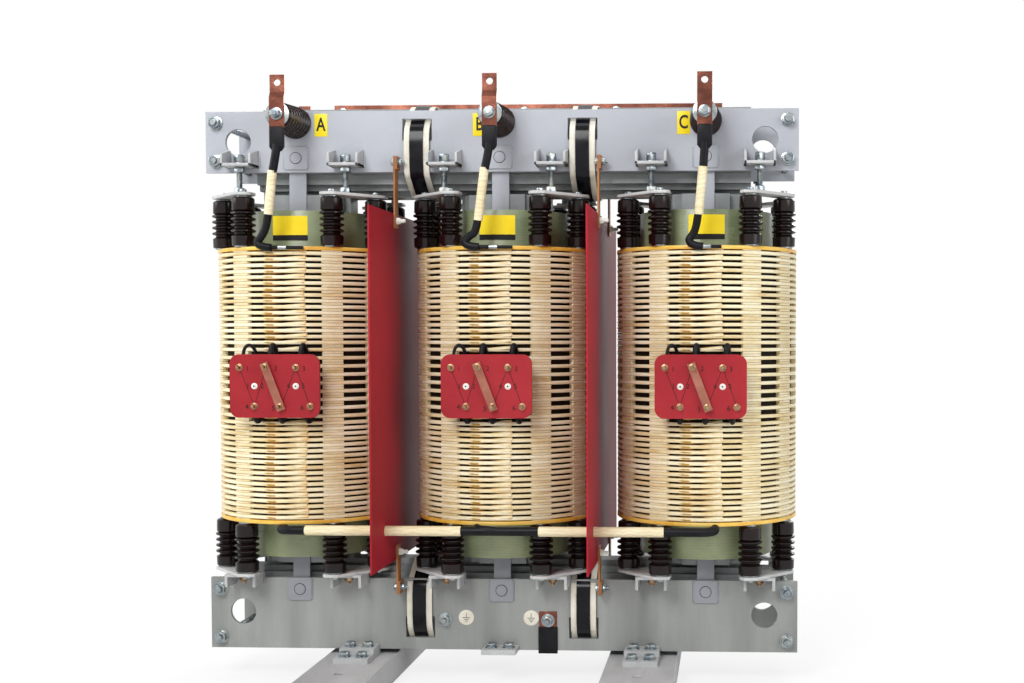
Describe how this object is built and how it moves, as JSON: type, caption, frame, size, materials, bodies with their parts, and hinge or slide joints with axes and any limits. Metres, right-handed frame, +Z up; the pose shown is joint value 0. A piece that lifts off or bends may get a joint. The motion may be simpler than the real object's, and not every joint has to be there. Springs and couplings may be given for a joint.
{
  "type": "dry type transformer",
  "caption": "Open dry type distribution transformer: clamped laminated core on base rails, upright disc windings on post insulators, tap boards, barriers and flat copper terminals.",
  "frame": {"origin": "on the floor, under the middle of the core", "axes": "+Z up, +X along the row of phases, -Y towards the high voltage side"},
  "size_m": [1.65, 1.1, 1.662],
  "materials": {
    "core": "painted grey core sheets, satin",
    "clamp": "light grey enamel, semi-gloss",
    "steel": "bright zinc plate",
    "copper": "bare copper, lightly tarnished",
    "winding": "varnished glass-wrapped disc winding",
    "lv": "varnished foil winding",
    "cylinder": "olive green glass fibre laminate",
    "insulator": "near-black brown glazed resin",
    "barrier": "red laminate sheet",
    "lead": "black sleeve with cream wrapped lengths",
    "band": "black binding tape",
    "liner": "off-white liner sheet",
    "hanger": "brown laminate strip",
    "nylon": "white nylon"
  },
  "bodies": {
    "root": {"band_liners": "liner", "barrier_hangers": "hanger", "clamp_boards": "liner", "clamp_rods": "steel", "core_limb_a": "core", "core_limb_b": "core", "core_limb_c": "core", "earth_terminals": "copper", "foot_bolts": "steel", "foot_plates": "clamp", "front_lower_clamp": "clamp", "front_tie_plates": "clamp", "front_upper_clamp": "clamp", "hv_lead_a": "lead", "hv_lead_b": "lead", "hv_lead_c": "lead", "hv_winding_a": "winding", "hv_winding_b": "winding", "hv_winding_c": "winding", "insulating_cylinder_a": "cylinder", "insulating_cylinder_b": "cylinder", "insulating_cylinder_c": "cylinder", "left_barrier": "barrier", "left_rail": "clamp", "lower_brackets": "clamp", "lower_pressing_plates": "clamp", "lower_support_insulators": "insulator", "lower_yoke": "core", "lv_bars": "copper", "lv_supports": "insulator", "lv_winding_a": "lv", "lv_winding_b": "lv", "lv_winding_c": "lv", "post_insulators": "insulator", "pressing_screws": "steel", "rear_lower_clamp": "clamp", "rear_tie_plates": "clamp", "rear_upper_clamp": "clamp", "right_barrier": "barrier", "right_rail": "clamp", "star_link": "lead", "tap_board_a": "barrier", "tap_board_b": "barrier", "tap_board_c": "barrier", "tap_board_spacers": "nylon", "tap_links": "copper", "tap_loops": "lead", "tap_studs": "steel", "terminal_bar_a": "copper", "terminal_bar_b": "copper", "terminal_bar_c": "copper", "terminal_bolts": "steel", "tie_plate_pads": "clamp", "upper_brackets": "clamp", "upper_pressing_plates": "clamp", "upper_support_insulators": "insulator", "upper_yoke": "core", "yoke_bands": "band"}
  },
  "joints": []
}
